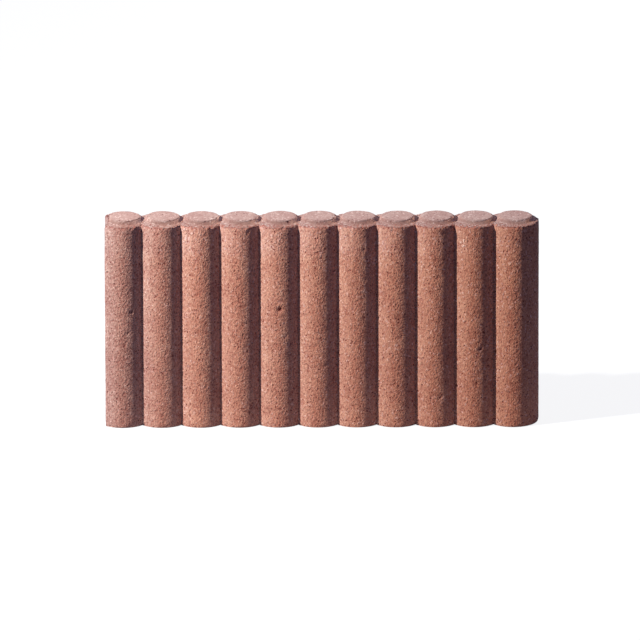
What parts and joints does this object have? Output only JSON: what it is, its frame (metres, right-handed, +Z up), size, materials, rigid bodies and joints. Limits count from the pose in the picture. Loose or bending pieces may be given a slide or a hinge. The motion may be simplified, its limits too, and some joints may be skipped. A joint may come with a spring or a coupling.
{
  "type": "concrete edging stone",
  "caption": "Upright border stone cast as a row of joined round columns with flat caps that slope on one side, one hollow end and one rounded end that nest with the neighbouring stones.",
  "frame": {"origin": "on the ground at the middle of the bounding box of the upright stone", "axes": "+X along the row of columns towards the rounded end, -Y to the front, +Z up"},
  "size_m": [0.5048, 0.06, 0.25],
  "materials": {
    "red_concrete": "rough, sandy cast concrete, coloured red-brown through and through"
  },
  "bodies": {
    "root": {"edging_stone": "red_concrete"}
  },
  "joints": []
}
